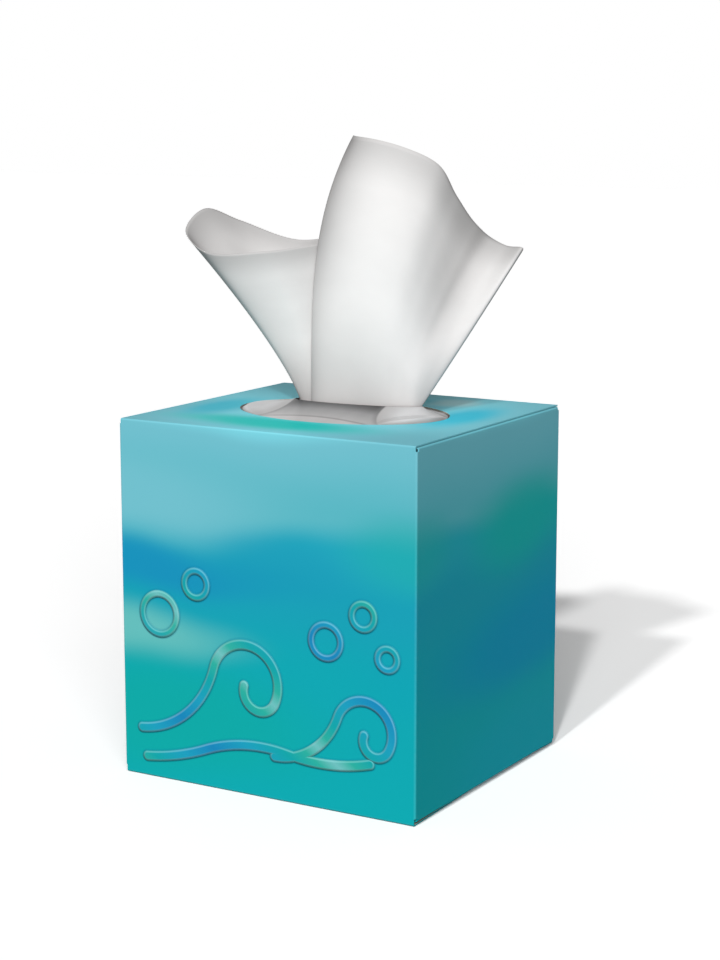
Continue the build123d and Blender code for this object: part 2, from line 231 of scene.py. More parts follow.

# %% [markdown]
# ## The printed carton: soft fields of colour
#
# The print is a blurred seascape of blue and green with no sharp line in it. It could be
# painted on an image, but soft fields are easy to compute: one ramp of colour over the height,
# and on it a few soft patches, each an ellipsoid with a blurred rim. Because the patches are
# ellipsoids in space, a field that reaches a fold carries on round the corner. A slow noise
# bends all of them a little, as wet ink would run. Three patches on the top are partly painted
# light: lighter than the print, because the lamps light the top less than the front, or
# because the sheet throws its shadow there.

# %% Board: the ramp over the height and the patches
INK_RUN = 7.0
INK_RUN_SCALE = 0.016
PATCH_CORE = 0.15
HEIGHT_RAMP = [
    (0.00, "#10AEB6"), (0.36, "#12ACB8"), (0.58, "#1BA5BC"),
    (0.70, "#27AEC3"), (0.78, "#5DBDCA"), (1.00, "#76C6D5"),
]
PATCHES = [
    # centre in mm, radii in mm, strength, colour
    ((-60, -52, 98), (95, 60, 22), 1.0, "#75C6D4"),
    # the top, partly print and partly painted light: lighter because the lamps light the top less
    # than the front
    ((0, 0, 126), (95, 95, 9), 0.95, "#8AECFA"),
    ((-56, -52, 75), (88, 70, 13), 0.8, "#1A92C2"),
    ((4, -52, 80), (52, 40, 16), 0.6, "#1B9EBE"),
    ((-62, -52, 51), (76, 60, 15), 0.85, "#70C8C4"),
    ((-40, -52, 22), (95, 70, 32), 0.8, "#10AEA8"),
    ((58, -52, 88), (40, 40, 18), 0.7, "#22B2B4"),
    ((58, 26, 87), (70, 64, 24), 0.9, "#14B6B2"),
    ((58, 34, 47), (60, 112, 27), 0.9, "#109CC4"),
    ((58, 30, 8), (24, 90, 30), 0.6, "#16ACC4"),
    ((0, 60, 62), (70, 60, 18), 0.7, "#1F95C2"),
    ((-58, 30, 46), (60, 60, 14), 0.8, "#7CC9BF"),
    ((-6, -34, 124), (56, 17, 40), 1.0, "#0CCDC6"),
    ((-42, -10, 124), (15, 32, 40), 0.8, "#24C4DC"),
    # partly print and partly painted light: lighter against the shadow that the sheet throws on
    # the top
    ((42, 8, 124), (15, 36, 40), 0.9, "#16CDEA"),
    ((-6, 34, 124), (40, 10, 40), 0.8, "#25C8DA"),
    # pale spot, partly print and partly painted light against the sheet's shadow on the top
    ((24, 36, 124), (14, 14, 40), 0.5, "#DCFAF8"),
]

slow = add(tree, "TexNoise", {"Vector": place, "Scale": INK_RUN_SCALE, "Detail": 1.0})
slow = add(tree, "VectorMath", {0: slow.node.outputs["Color"], 1: (0.5, 0.5, 0.5)},
           operation="SUBTRACT")
slow = add(tree, "VectorMath", {0: slow, 1: (INK_RUN, INK_RUN, 2 * INK_RUN)}, operation="MULTIPLY")
inked = add(tree, "VectorMath", {0: place, 1: slow}, operation="ADD")
height = add(tree, "SeparateXYZ", {0: inked}).node.outputs["Z"]
height = add(tree, "Math", {0: height, 1: 2 * BOX_HALF[2]}, operation="DIVIDE")
colour = add(tree, "ValToRGB", {0: height})
stops = colour.node.color_ramp
stops.interpolation = "EASE"
while len(stops.elements) < len(HEIGHT_RAMP):
    stops.elements.new(0.5)
for stop, (position, paint) in zip(stops.elements, HEIGHT_RAMP):
    stop.position = position
    stop.color = linear(paint)
for centre, radii, strength, paint in PATCHES:
    offset = add(tree, "VectorMath", {0: inked, 1: centre}, operation="SUBTRACT")
    share = add(tree, "VectorMath", {0: offset, 1: radii}, operation="DIVIDE")
    share = add(tree, "VectorMath", {0: share}, operation="LENGTH")
    share = add(tree, "MapRange", {0: share, 1: 1.0, 2: PATCH_CORE, 3: 0.0, 4: strength},
                interpolation_type="SMOOTHERSTEP")
    colour = add(tree, "Mix", {0: share, 6: colour, 7: linear(paint)}, data_type="RGBA")
print(len(PATCHES), "soft patches on", len(HEIGHT_RAMP), "ramp stops")

# %% [markdown]
# ## The printed carton: raised waves and rings
#
# Two curling waves over a low swell, and a few rings, stand out of the front by a quarter of a
# millimetre. They are in the CAD shape, but so low that their edges would hardly show. The
# print follows them, so the material needs to know how far each point is from their outline.
# Every wave is a chain of circular arcs, so that distance is exact: the distance to the
# circle, as long as the point lies within the arc's angle, and otherwise the distance to the
# chain's end. The arcs are worked out from the same start, radii and turns as in the CAD.

# %% Board: distance to the raised bands
WAVE_TURNS = (70, -190, -170)
CHAINS = [
    # start (x, z) in mm, heading in degrees, radii in mm, turns in degrees
    ((-48.0, 7.0), 6, (90, 60, 70), (16, -32, 26)),
    ((-50.0, 17.0), 5, (34, 13, 6.5), WAVE_TURNS),
    ((4.0, 15.0), 0, (26, 10.5, 5), WAVE_TURNS),
]
RINGS = [
    # centre (x, z) and radius in mm
    ((-42.0, 58.0), 7.0), ((-27.0, 70.0), 4.6),
    ((24.0, 57.0), 5.6), ((38.0, 67.0), 4.2), ((47.0, 54.0), 3.6),
]
RIBBON_HALF = 1.8
RING_HALF = 1.2
FRONT_DEPTH = 0.4
FAR = 500.0


def arcs_of(start, heading, radii, turns):
    """Each arc of a chain as centre, radius, middle direction and half angle, and the end."""
    spot = Vector(start)
    angle = math.radians(heading)
    arcs = []
    for radius, turn in zip(radii, turns):
        sweep = math.radians(turn)
        side = math.copysign(1, sweep)
        centre = spot + radius * side * Vector((-math.sin(angle), math.cos(angle)))
        begin = angle - side * math.pi / 2
        middle = begin + sweep / 2
        arcs.append((centre, radius, (math.cos(middle), math.sin(middle)), abs(sweep) / 2))
        spot = centre + radius * Vector((math.cos(begin + sweep), math.sin(begin + sweep)))
        angle += sweep
    return arcs, spot


flat = add(tree, "CombineXYZ", {"X": axes["X"], "Y": axes["Z"]})
gaps = []
for start, heading, radii, turns in CHAINS:
    arcs, end = arcs_of(start, heading, radii, turns)
    for centre, radius, middle, half in arcs:
        spoke = add(tree, "VectorMath", {0: flat, 1: (*centre, 0)}, operation="SUBTRACT")
        reach = add(tree, "VectorMath", {0: spoke}, operation="LENGTH")
        gap = add(tree, "Math", {0: reach, 1: radius}, operation="SUBTRACT")
        gap = add(tree, "Math", {0: gap}, operation="ABSOLUTE")
        spoke = add(tree, "VectorMath", {0: spoke}, operation="NORMALIZE")
        along = add(tree, "VectorMath", {0: spoke, 1: (*middle, 0)}, operation="DOT_PRODUCT")
        beyond = add(tree, "Math", {0: along, 1: math.cos(half)}, operation="LESS_THAN")
        gap = add(tree, "Math", {0: beyond, 1: FAR, 2: gap}, operation="MULTIPLY_ADD")
        gaps.append((gap, RIBBON_HALF))
    for tip in (start, end):
        reach = add(tree, "VectorMath", {0: flat, 1: (*tip, 0)}, operation="DISTANCE")
        gaps.append((reach, RIBBON_HALF))
for centre, radius in RINGS:
    reach = add(tree, "VectorMath", {0: flat, 1: (*centre, 0)}, operation="DISTANCE")
    gap = add(tree, "Math", {0: reach, 1: radius}, operation="SUBTRACT")
    gaps.append((add(tree, "Math", {0: gap}, operation="ABSOLUTE"), RING_HALF))
from_band = FAR
for gap, half in gaps:
    gap = add(tree, "Math", {0: gap, 1: half}, operation="SUBTRACT")
    from_band = add(tree, "Math", {0: from_band, 1: gap}, operation="MINIMUM")
on_front = add(tree, "Math", {0: axes["Y"], 1: FRONT_DEPTH - BOX_HALF[1]}, operation="LESS_THAN")
print(len(gaps), "arcs, ends and rings in the distance")

# %% [markdown]
# ## The printed carton: ink, painted highlight and painted shadow on the bands
#
# Each band runs through its own blend of blue, sea green and a pale tint. It has a painted
# highlight, a thin light line just inside its outline, and a painted shadow, a soft dark rim on
# the print around it. All three are bands of the distance from the step before.

# %% Board: colour of the bands, with painted highlight and painted shadow
BAND_RAMP = [(0.0, "#1F86C6"), (0.35, "#23A7CB"), (0.65, "#17AEB0"), (0.85, "#35BBA4"),
             (1.0, "#7FD0CC")]
BLEND_STEP = (0.9 / 46, 1.3 / 46, 0)
INK_COVER = 0.8
INK_BLUR = 0.12
HIGHLIGHT_LINE_INSET = 0.35
HIGHLIGHT_LINE_SPAN = (0.45, 0.10)
HIGHLIGHT_LINE_STRENGTH = 0.28
SHADOW_RIM_WIDTH = 0.9
SHADOW_RIM_STRENGTH = 0.42

slant = add(tree, "VectorMath", {0: flat, 1: BLEND_STEP}, operation="DOT_PRODUCT")
slant = add(tree, "Math", {0: slant, 1: 1.0}, operation="PINGPONG")
ink = add(tree, "ValToRGB", {0: slant})
stops = ink.node.color_ramp
while len(stops.elements) < len(BAND_RAMP):
    stops.elements.new(0.5)
for stop, (position, paint) in zip(stops.elements, BAND_RAMP):
    stop.position = position
    stop.color = linear(paint)

# painted shadow: a soft dark rim round each raised band
painted_rim_shade = add(tree, "MapRange", {0: from_band, 1: SHADOW_RIM_WIDTH, 2: 0.0, 3: 0.0, 4: SHADOW_RIM_STRENGTH},
          interpolation_type="SMOOTHSTEP")
painted_rim_shade = add(tree, "Math", {0: painted_rim_shade, 1: on_front}, operation="MULTIPLY")
colour = add(tree, "Mix", {0: painted_rim_shade, 6: colour, 7: linear("#0B6E8E")}, data_type="RGBA")
band = add(tree, "MapRange", {0: from_band, 1: INK_BLUR, 2: -INK_BLUR})
band = add(tree, "Math", {0: band, 1: on_front}, operation="MULTIPLY")
cover = add(tree, "Math", {0: band, 1: INK_COVER}, operation="MULTIPLY")
colour = add(tree, "Mix", {0: cover, 6: colour, 7: ink}, data_type="RGBA")
# painted highlight: a thin light line just inside each band's outline
line = add(tree, "Math", {0: from_band, 1: HIGHLIGHT_LINE_INSET}, operation="ADD")
line = add(tree, "Math", {0: line}, operation="ABSOLUTE")
line = add(tree, "MapRange", {0: line, 1: HIGHLIGHT_LINE_SPAN[0], 2: HIGHLIGHT_LINE_SPAN[1], 3: 0.0,
                              4: HIGHLIGHT_LINE_STRENGTH})
line = add(tree, "Math", {0: line, 1: on_front}, operation="MULTIPLY")
colour = add(tree, "Mix", {0: line, 6: colour, 7: linear("#A6E4E8")}, data_type="RGBA")
print("bands coloured with", len(BAND_RAMP), "stops")

# %% [markdown]
# ## The printed carton: folds, raw board and varnish
#
# Ink cracks a little where board is folded, so the folds are a touch lighter. Inside, and on
# the cut edges, the board is bare: a warm grey with short fibres. The varnish over the print
# is satin (roughness about 0.5, the usual IOR of 1.5), with its highlight turned far down,
# because the box shows no sheen in this even light. Bare board is matt. Fibres are near
# 0.05 mm, too fine to show, so their bump is drawn at about 0.4 mm. The outline of the
# raised bands gets a rounder look from a bump across it.

# %% Board: finish and surface
FOLD_WEAR = 0.06
FOLD_REACH = 0.9
FOLD_BLUR = 0.7
GRIT_SCALE = 0.9
FIBRE_SCALE = 2.4
SWELL_SCALE = 0.05
BEVEL_SPAN = (0.45, -0.75)

steps = add(tree, "VectorMath", {0: in_halves}, operation="ABSOLUTE")
steps = add(tree, "VectorMath", {0: steps, 1: BOX_HALF}, operation="MULTIPLY")
steps = add(tree, "VectorMath", {0: steps, 1: tuple(h - FOLD_REACH for h in BOX_HALF)},
            operation="SUBTRACT")
steps = add(tree, "VectorMath", {0: steps, 1: (0, 0, 0)}, operation="MAXIMUM")
near_fold = add(tree, "SeparateXYZ", {0: steps}).node.outputs
sides = [near_fold[axis] for axis in "XYZ"]
pairs = [add(tree, "Math", {0: a, 1: b}, operation="MINIMUM")
         for a, b in ((sides[0], sides[1]), (sides[1], sides[2]), (sides[0], sides[2]))]
fold = add(tree, "Math", {0: pairs[0], 1: pairs[1]}, operation="MAXIMUM")
fold = add(tree, "Math", {0: fold, 1: pairs[2]}, operation="MAXIMUM")
grit = add(tree, "TexNoise", {"Vector": place, "Scale": GRIT_SCALE, "Detail": 3.0})
fold = add(tree, "MapRange", {0: fold, 1: 0.0, 2: FOLD_BLUR, 3: 0.0, 4: FOLD_WEAR})
fold = add(tree, "Math", {0: fold, 1: grit}, operation="MULTIPLY")
colour = add(tree, "Mix", {0: fold, 6: colour, 7: linear("#E8F2F2")}, data_type="RGBA")

fibres = add(tree, "TexNoise", {"Vector": place, "Scale": FIBRE_SCALE, "Detail": 4.0})
bare = add(tree, "Mix", {0: fibres, 6: linear("#A99F90"), 7: linear("#D9D2C6")},
           data_type="RGBA")
colour = add(tree, "Mix", {0: printed, 6: bare, 7: colour}, data_type="RGBA")
gloss = add(tree, "MapRange", {0: fibres, 1: 0.3, 2: 0.7, 3: 0.44, 4: 0.52})
gloss = add(tree, "Mix", {0: printed, 2: 0.85, 3: gloss}, data_type="FLOAT")

swell = add(tree, "TexNoise", {"Vector": place, "Scale": SWELL_SCALE, "Detail": 1.0})
bumps = add(tree, "Bump", {"Strength": 0.10, "Distance": 0.6 * MM, "Height": swell})
bumps = add(tree, "Bump", {"Strength": 0.05, "Distance": 0.05 * MM, "Height": fibres,
                           "Normal": bumps})
raised = add(tree, "MapRange", {0: from_band, 1: BEVEL_SPAN[0], 2: BEVEL_SPAN[1]},
             interpolation_type="SMOOTHSTEP")
raised = add(tree, "Math", {0: raised, 1: on_front}, operation="MULTIPLY")
bumps = add(tree, "Bump", {"Strength": 0.9, "Distance": 0.9 * MM, "Height": raised,
                           "Normal": bumps})
finish = add(tree, "BsdfPrincipled", {
    "Base Color": colour, "Roughness": gloss, "IOR": 1.5, "Specular IOR Level": 0.02,
    "Normal": bumps,
})
tree.links.new(finish, board_output.inputs["Surface"])
print("board material has", len(tree.nodes), "nodes")

# %% [markdown]
# ## Finished pieces
#
# Every new piece goes through the same last steps: the sketch becomes a mesh, the object is
# linked to the scene, gets its material, and is tied to the body, and the CAD nodes that it
# stands for are hidden. Its object stays at the origin, because its place is in its mesh.

# %% A helper that turns a sketch into a piece
def make_piece(name, sketch, material, slot, *nodes):
    """Turn a bmesh into a smooth-shaded piece that stands for CAD nodes."""
    for face in sketch.faces:
        face.smooth = True
    piece = bpy.data.objects.new(name, bpy.data.meshes.new(name))
    sketch.to_mesh(piece.data)
    sketch.free()
    piece.data.materials.append(material)
    bpy.context.scene.collection.objects.link(piece)
    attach(piece, "root")
    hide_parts(*nodes)
    print(name, "has", len(piece.data.polygons), "faces")
    return piece


# %% [markdown]
# ## The sheet that stands up
#
# A tissue that is pulled half out stays drawn together in the slit and opens like a fan
# above it. Cloth simulation would give some fan, but not this one, so the sheet is shaped
# directly. Stations go round its upper edge: over the left edge of the tall front lobe, which
# curls back, along the lobe, through the valley beside it, round the pointed fold on the
# right, along the back, round the roll on the left and on to the end that is tucked behind
# the tall lobe. Each says where the upper edge is and where the same strip of paper sits in
# the slit.

# %% Stations of the sheet, in millimetres
SLIT_SKEW = math.radians(6.0)
SLIT_SHIFT = 4.0
NECK_HALF = (24.5, 4.2)
LIP_LEVEL = 126.6
SHEET_FOOT = 112.2
BELLY_HEADING = math.radians(-60.0)
STATIONS = np.array([
    # x, y, height over the lip; place along and across the slit; how late it flares; belly
    (-4.2, 16.1, 82.0, -0.46, -0.40, 3.60, 0.0),
    (-4.3, 10.3, 88.0, -0.56, -0.44, 3.50, 0.0),
    (-2.3, 3.8, 90.9, -0.60, -0.60, 3.50, 0.0),
    (2.7, -1.9, 91.0, -0.50, -0.80, 2.60, 1.5),
    (11.1, -2.9, 90.0, -0.28, -0.90, 2.00, 3.0),
    (19.5, 0.0, 87.6, -0.02, -0.90, 1.70, 4.0),
    (28.3, 7.4, 82.0, 0.32, -0.90, 1.50, 4.0),
    (30.5, 16.5, 71.3, 0.58, -0.80, 1.35, 3.5),
    (32.5, 27.9, 60.8, 0.80, -0.62, 1.45, 2.9),
    (34.6, 33.4, 56.6, 0.91, -0.42, 1.55, 2.3),
    (41.0, 32.6, 54.0, 0.97, -0.20, 1.30, 2.0),
    (50.0, 27.5, 53.9, 1.00, 0.05, 1.00, 0.4),
    (42.0, 37.0, 50.0, 0.93, 0.40, 1.00, 0.0),
    (22.0, 37.5, 54.0, 0.50, 0.72, 1.00, -1.0),
    (6.0, 30.0, 58.0, 0.18, 0.70, 1.00, -2.0),
    (-10.0, 29.0, 58.0, -0.10, 0.93, 1.00, -3.0),
    (-31.0, 14.0, 54.5, -0.52, 1.00, 1.10, -2.0),
    (-46.5, 0.5, 61.5, -0.76, 0.85, 1.25, 0.0),
    (-52.5, -12.0, 66.0, -0.85, 0.62, 1.30, 0.0),
    (-52.0, -24.5, 59.0, -0.86, 0.34, 1.25, 0.0),
    (-41.5, -29.0, 52.8, -0.82, 0.07, 1.25, 0.0),
    (-25.5, -17.5, 52.5, -0.70, -0.05, 1.60, 0.0),
    (-14.0, 1.0, 54.5, -0.50, -0.13, 1.50, 0.0),
    (1.0, 10.0, 57.0, -0.17, -0.23, 1.40, 0.0),
])
strides = np.linalg.norm(np.diff(STATIONS[:, :3], axis=0), axis=1)
TICKS = np.concatenate([[0.0], np.cumsum(strides)]) / strides.sum()
SLOPES = np.gradient(STATIONS, TICKS, axis=0)
print("upper edge is about", round(strides.sum()), "mm long")

# %% [markdown]
# A smooth curve runs through the stations, as a hull is drawn through its ribs: a cubic
# between each two of them, with a slope at each station that comes from its two neighbours.
# On its way up, a strip of paper stays close to the slit for a while and then flares out, and
# the strips of the front lobe also belly towards the front right.

# %% Points of the sheet
def station_at(tick):
    """All station values at one share of the upper edge, on a smooth curve through them."""
    i = int(np.clip(np.searchsorted(TICKS, tick, side="right") - 1, 0, len(TICKS) - 2))
    span = TICKS[i + 1] - TICKS[i]
    s = (tick - TICKS[i]) / span
    near = (2 * s**3 - 3 * s**2 + 1) * STATIONS[i] + (s**3 - 2 * s**2 + s) * span * SLOPES[i]
    far = (3 * s**2 - 2 * s**3) * STATIONS[i + 1] + (s**3 - s**2) * span * SLOPES[i + 1]
    return near + far


def sheet_point(tick, share):
    """A point of the sheet in mm; share is 0 at the lips, 1 at the free edge."""
    x, y, rise, along, across, late, belly = station_at(tick)
    u = along * NECK_HALF[0]
    v = across * NECK_HALF[1]
    neck_x = u * math.cos(SLIT_SKEW) - v * math.sin(SLIT_SKEW)
    neck_y = u * math.sin(SLIT_SKEW) + v * math.cos(SLIT_SKEW)
    flare = max(share, 0.0) ** late
    bow = 4 * belly * max(share, 0.0) * (1 - share)
    return Vector((
        SLIT_SHIFT + neck_x + (x - neck_x) * flare + bow * math.cos(BELLY_HEADING),
        neck_y + (y - neck_y) * flare + bow * math.sin(BELLY_HEADING),
        LIP_LEVEL + rise * share,
    ))


print("right tip at", [round(v, 1) for v in sheet_point(TICKS[11], 1.0)])

# %% [markdown]
# ## Tissue: painted shade in its folds
#
# The folds and edges of the sheet are darkened by painted shade: greys in the paper's colour
# that stand in for the shading of its folds, deeper than the lamps alone draw it. They could be
# painted on an image, but a few greys are enough: one for each station in the upper part of
# the sheet and one in the lower part, blended smoothly, and one each for the neck, the free
# edge and the curled left edge of the tall lobe. They follow the sheet, so the material reads
# the sheet's own UV map, which is in metres. Low down the paper also gets a painted warm tint,
# which cancels the blue light that the printed box throws on it.

# %% Tissue: painted shade along the sheet and up it
SHEET_FLAT = (0.205, 0.1025)
# painted shade for each station in the upper part of the sheet
FOLD_PAINTED_SHADES = (
    0.70, 0.66, 0.60, 0.76, 0.97, 1.0, 0.98, 0.86, 0.70, 0.60, 0.80, 0.88,
    0.86, 0.86, 0.86, 0.86, 0.84, 0.80, 0.78, 0.68, 0.70, 0.99, 0.78, 0.60,
)
# painted shade for each station in the lower part of the sheet
LOW_PAINTED_SHADES = (
    0.86, 0.86, 0.86, 0.92, 1.0, 1.0, 1.0, 1.0, 1.0, 0.98, 0.84, 0.76,
    0.82, 0.90, 0.90, 0.90, 0.90, 0.88, 0.84, 0.74, 0.68, 0.90, 0.84, 0.72,
)
# a painted warm tint low on the sheet, which cancels the blue light the box throws on it
LOW_PAINTED_WARM_TINT = (1.0, 0.973, 0.97)
# painted shade at the neck, the free edge and the curled left edge of the tall lobe
NECK_PAINTED_SHADE = 0.68
EDGE_PAINTED_SHADE = 0.74
CURL_PAINTED_SHADE = 0.80
# Shares of the height over which the painted shade changes
OPENING_SPAN = (0.25, 0.70)
NECK_SPAN = (0.08, 0.50)
EDGE_SPAN = (0.84, 1.0)

tissue, tree, output = new_material("creped_two_ply_tissue")
sheet_place = add(tree, "UVMap", uv_map="UVMap")
along = add(tree, "SeparateXYZ", {0: sheet_place}).node.outputs
across = add(tree, "Math", {0: along["X"], 1: SHEET_FLAT[0]}, operation="DIVIDE")
up = add(tree, "Math", {0: along["Y"], 1: SHEET_FLAT[1]}, operation="DIVIDE")
# two ramps of painted shade across the sheet, a low one and an upper one
ramps = []
for shades, painted_tint in ((LOW_PAINTED_SHADES, LOW_PAINTED_WARM_TINT), (FOLD_PAINTED_SHADES, (1.0, 1.0, 1.0))):
    ramps.append(add(tree, "ValToRGB", {0: across}))
    stops = ramps[-1].node.color_ramp
    stops.interpolation = "B_SPLINE"
    while len(stops.elements) < len(shades):
        stops.elements.new(0.5)
    for stop, position, grey in zip(stops.elements, TICKS, shades):
        stop.position = position
        stop.color = (*(grey * share for share in painted_tint), 1.0)
open_up = add(tree, "MapRange", {0: up, 1: OPENING_SPAN[0], 2: OPENING_SPAN[1]},
              interpolation_type="SMOOTHSTEP")
painted_fold_shade = add(tree, "Mix", {0: open_up, 6: ramps[0], 7: ramps[1]}, data_type="RGBA")
neck = add(tree, "MapRange", {0: up, 1: NECK_SPAN[0], 2: NECK_SPAN[1], 3: NECK_PAINTED_SHADE, 4: 1.0},
           interpolation_type="SMOOTHSTEP")
edge = add(tree, "MapRange", {0: up, 1: EDGE_SPAN[0], 2: EDGE_SPAN[1], 3: 1.0, 4: EDGE_PAINTED_SHADE},
           interpolation_type="SMOOTHSTEP")
curl = add(tree, "MapRange", {0: across, 1: TICKS[1], 2: TICKS[4], 3: CURL_PAINTED_SHADE, 4: 1.0},
           interpolation_type="SMOOTHSTEP")
# the painted shade of neck, free edge and curl, multiplied together
shade = add(tree, "Math", {0: neck, 1: edge}, operation="MULTIPLY")
shade = add(tree, "Math", {0: shade, 1: curl}, operation="MULTIPLY")
print("greys for", len(FOLD_PAINTED_SHADES), "stations")

# %% [markdown]
# ## Tissue: paper and crepe
#
# Facial tissue is two plies of soft paper, creped: it comes off its dryer in fine ripples. It
# has next to no gloss, so its roughness is close to 1 and its highlight faint. The ripples
# are 0.3 mm apart, which is less than a pixel here, so they are drawn faintly at 0.9 mm.

# %% Tissue: soft, matt and faintly creped
CREPE = 0.9 * MM
CREPE_STRETCH = (0.3, 1.0, 1.0)
CLOUD_SCALE = 90.0

squeezed = add(tree, "VectorMath", {0: sheet_place, 1: CREPE_STRETCH}, operation="MULTIPLY")
crepe = add(tree, "TexNoise", {"Vector": squeezed, "Scale": 1 / CREPE, "Detail": 2.0})
cloud = add(tree, "TexNoise", {"Vector": sheet_place, "Scale": CLOUD_SCALE, "Detail": 3.0})
colour = add(tree, "Mix", {0: cloud, 6: linear("#F1EFEE"), 7: linear("#FAF8F7")},
             data_type="RGBA")
# the painted fold shade darkens the paper's own white
colour = add(tree, "Mix", {0: 1.0, 6: colour, 7: painted_fold_shade}, data_type="RGBA",
             blend_type="MULTIPLY")
colour = add(tree, "VectorMath", {0: colour, "Scale": shade}, operation="SCALE")
bumps = add(tree, "Bump", {"Strength": 0.15, "Distance": 0.1 * MM, "Height": crepe})
finish = add(tree, "BsdfPrincipled", {
    "Base Color": colour, "Roughness": 0.95, "IOR": 1.3, "Specular IOR Level": 0.2,
    "Normal": bumps,
})
tree.links.new(finish, output.inputs["Surface"])
print("tissue material ready")

# %% [markdown]
# ## The sheet as a mesh
#
# The sheet is a flat bmesh grid first. Each of its points is then moved to its place on the
# sheet, its share of the height coming from its row. The lowest rows go straight down through
# the slit to the stack. Solidify gives the paper its thickness.

# %% Model the sheet
SHEET_COLUMNS = 216
SHEET_ROWS = 72
FOOT_ROWS = 8
PLY = 0.25 * MM

sketch = bmesh.new()
uv = sketch.loops.layers.uv.new("UVMap")
bmesh.ops.create_grid(sketch, x_segments=SHEET_COLUMNS, y_segments=SHEET_ROWS, size=0.5)
for vertex in sketch.verts:
    across, up = vertex.co.x + 0.5, vertex.co.y + 0.5
    for loop in vertex.link_loops:
        loop[uv].uv = (across * SHEET_FLAT[0], up * SHEET_FLAT[1])
    share = (up * SHEET_ROWS - FOOT_ROWS) / (SHEET_ROWS - FOOT_ROWS)
    point = sheet_point(across, max(share, 0.0))
    if share < 0:
        point.z += (LIP_LEVEL - SHEET_FOOT) * share * (SHEET_ROWS - FOOT_ROWS) / FOOT_ROWS
    vertex.co = point * MM
sheet = make_piece("popped_sheet", sketch, tissue, "tissue", "pulled_sheet")
thickness = sheet.modifiers.new("thickness", "SOLIDIFY")
thickness.thickness = PLY
thickness.offset = 0.0

# %% [markdown]
# ## The film
#
# The film is low-density polythene, a few hundredths of a millimetre thick. It is glued flat
# under the top panel, and the sheet that passes through has pulled up its slit, so the film
# rises to two lips and puffs up at the slit's ends. It is modelled as rings round the slit,
# from the lips out to the glued margin.

# %% Shape of the film, in millimetres
RIM_HALF = (38.4, 25.9)
LIP_HALF = (23.7, 5.4)
LIP_SHIFT = 5.6
MARGIN_HALF = (47.4, 41.4)
RIM_LEVEL = 123.54
LIP_RISE = 3.9
LIP_CURVE = 1.5
PUFF_CURVE = 0.6
PUFF_FADE = 0.09
PUFFS = [
    # centre (x, y), half sizes, turn in degrees, height
    ((-33.0, -5.0), (15.0, 21.0), 0.0, 1.1),
    ((32.5, -8.0), (12.8, 17.0), 27.0, 1.8),
]


def puff_height(x, y):
    """How much the two puffs raise the film at a place."""
    highest = 0.0
    for (cx, cy), (half_x, half_y), turn, rise in PUFFS:
        angle = math.radians(turn)
        dx, dy = x - cx, y - cy
        u = (dx * math.cos(angle) + dy * math.sin(angle)) / half_x
        v = (dy * math.cos(angle) - dx * math.sin(angle)) / half_y
        highest = max(highest, rise * max(1 - u * u - v * v, 0.0) ** PUFF_CURVE)
    return highest


def film_point(angle, share):
    """A point of the film: share is 0 at the lips, 1 at the oval's rim, 2 at the outer edge."""
    c, s = math.cos(angle), math.sin(angle)
    u, v = LIP_HALF[0] * c, LIP_HALF[1] * s
    lip_x = LIP_SHIFT + u * math.cos(SLIT_SKEW) - v * math.sin(SLIT_SKEW)
    lip_y = u * math.sin(SLIT_SKEW) + v * math.cos(SLIT_SKEW)
    rim_x, rim_y = RIM_HALF[0] * c, RIM_HALF[1] * s
    if share > 1:
        square = max(abs(c), abs(s))
        out_x, out_y = MARGIN_HALF[0] * c / square, MARGIN_HALF[1] * s / square
        part = share - 1
        return Vector((rim_x + (out_x - rim_x) * part, rim_y + (out_y - rim_y) * part, RIM_LEVEL))
    x = lip_x + (rim_x - lip_x) * share
    y = lip_y + (rim_y - lip_y) * share
    fade = min(1.0, (1 - share) / PUFF_FADE)
    rise = max(LIP_RISE * (1 - share) ** LIP_CURVE, puff_height(x, y) * fade)
    return Vector((x, y, RIM_LEVEL + rise))


print("lips of the film rise to", round(film_point(0, 0).z, 2), "mm")

# %% [markdown]
# ## The film: cloudy polythene
#
# Thin polythene is cloudy, and its greys here are painted light and painted shade: painted
# light on the puffs, painted shade in the trough between them, darkest beside the sheet. A thin
# line of painted shade marks a crease along the front in a shallow curve, with a flat light
# band before it. All these are computed from the place on the film in millimetres, the puffs
# from the ellipses that also shape them. The film has a low gloss (roughness about a third,
# IOR 1.51) and lets only a little of the dark box show through.

# %% Film: painted shade in the trough and along the crease
TROUGH_PAINTED_SHADE_RAMP = [(0.0, "#BDBBBB"), (0.5, "#9B9A9B"), (0.8, "#676768"), (1.0, "#404041")]
TROUGH_SPAN = (18.0, 4.5)
CREASE_PLACE = 18.2
CREASE_CURVE = 0.0055
CREASE_SHADE_SPAN = (1.0, 0.3)
CREASE_SHADE_STRENGTH = 0.6
BAND_BLUR = 0.6

film_skin, tree, output = new_material("cloudy_polythene_film")
film_skin.blend_method = "HASHED"
place = add(tree, "TexCoord").node.outputs["Object"]
place = add(tree, "VectorMath", {0: place, "Scale": 1 / MM}, operation="SCALE")
axes = add(tree, "SeparateXYZ", {0: place}).node.outputs
from_slit = add(tree, "Math", {0: axes["Y"]}, operation="ABSOLUTE")
# painted shade in the trough, darkest next to the slit
trough_shade = add(tree, "MapRange", {0: from_slit, 1: TROUGH_SPAN[0], 2: TROUGH_SPAN[1]})
colour = add(tree, "ValToRGB", {0: trough_shade})
stops = colour.node.color_ramp
while len(stops.elements) < len(TROUGH_PAINTED_SHADE_RAMP):
    stops.elements.new(0.5)
for stop, (position, grey) in zip(stops.elements, TROUGH_PAINTED_SHADE_RAMP):
    stop.position = position
    stop.color = linear(grey)

